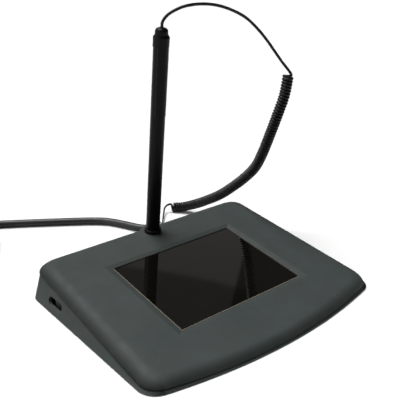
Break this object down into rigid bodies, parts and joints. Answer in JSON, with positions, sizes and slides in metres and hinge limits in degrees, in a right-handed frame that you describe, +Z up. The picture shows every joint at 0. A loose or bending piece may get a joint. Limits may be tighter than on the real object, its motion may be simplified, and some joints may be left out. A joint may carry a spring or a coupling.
{
  "type": "signature pad",
  "caption": "Countertop signature pad with a sloped touch display, a tethered pen in a holder, a contrast wheel and a data cable.",
  "frame": {"origin": "centre of the footprint of the pad and its pen holder, on the surface that the feet stand on", "axes": "+X to the right along the pad's rear edge, +Y towards the pen at the rear, +Z up"},
  "size_m": [0.2759, 0.3015, 0.1845],
  "materials": {
    "housing_plastic": "fine matte texture",
    "cover_plastic": "matte",
    "foot_rubber": "matte",
    "screw_steel": "zinc plated",
    "seal_foam": "matte foam",
    "display_glass": "polished, dark",
    "lcd_glass": "satin polariser",
    "light_guide": "clear acrylic",
    "sheet_steel": "satin",
    "circuit_board": "solder resist",
    "circuit_board_blue": "solder resist",
    "chip_black": "moulded epoxy",
    "connector_ivory": "satin",
    "transformer_tape": "taped",
    "flex_amber": "polyimide",
    "wheel_black": "satin",
    "holder_black": "satin",
    "pen_black": "semi-gloss",
    "nib_white": "satin",
    "crimp_metal": "plated",
    "tether_black": "satin polyurethane",
    "boot_pvc": "satin",
    "cable_pvc": "satin PVC",
    "tie_nylon": "satin nylon",
    "plug_pvc": "satin",
    "plug_steel": "nickel plated"
  },
  "bodies": {
    "root": {"top_housing": "housing_plastic", "bottom_cover": "cover_plastic", "rubber_feet": "foot_rubber", "housing_screws": "screw_steel", "display_gasket": "seal_foam", "touch_glass": "display_glass", "lcd_cell": "lcd_glass", "lcd_backlight": "light_guide", "lcd_frame": "sheet_steel", "lcd_retainers": "sheet_steel", "retainer_screws": "screw_steel", "main_board": "circuit_board", "board_chips": "chip_black", "board_connectors": "connector_ivory", "board_screws": "screw_steel", "inverter_board": "circuit_board_blue", "inverter_transformer": "transformer_tape", "lcd_flex": "flex_amber", "touch_flex": "flex_amber", "contrast_board": "circuit_board", "contrast_potentiometer": "connector_ivory", "contrast_screws": "screw_steel", "pen_holder_cup": "holder_black", "holder_pad": "foot_rubber", "tether_lead": "tether_black", "tether_coil": "tether_black", "tether_tail": "tether_black", "tether_grommet": "foot_rubber", "tether_stop": "crimp_metal", "cable_gland": "boot_pvc", "cable_clamp": "holder_black", "clamp_screws": "screw_steel", "inner_lead": "cable_pvc", "data_cable": "cable_pvc", "data_cable_coil": "cable_pvc", "data_cable_end": "cable_pvc", "cable_tie": "tie_nylon", "usb_plug_body": "plug_pvc", "usb_plug_shell": "plug_steel", "usb_plug_tongue": "nib_white"},
    "stylus": {"stylus_barrel": "pen_black", "stylus_half_sleeve": "pen_black", "stylus_collar": "pen_black", "stylus_end_cap": "pen_black", "stylus_nose": "pen_black", "stylus_nib": "nib_white", "stylus_anchor": "crimp_metal"},
    "contrast_knob": {"contrast_wheel": "wheel_black"}
  },
  "joints": [
    {"name": "stylus_lift", "type": "slide", "parent": "root", "child": "stylus", "axis": [0, -0.1346, 0.9909], "range_m": [0, 0.03], "deforming": ["tether_lead", "tether_coil", "tether_tail"]},
    {"name": "contrast_turn", "type": "hinge", "parent": "root", "child": "contrast_knob", "pos_m": [-0.0785, 0.0415, 0.0075], "axis": [0, 0, 1], "range_deg": [-135, 135]}
  ]
}
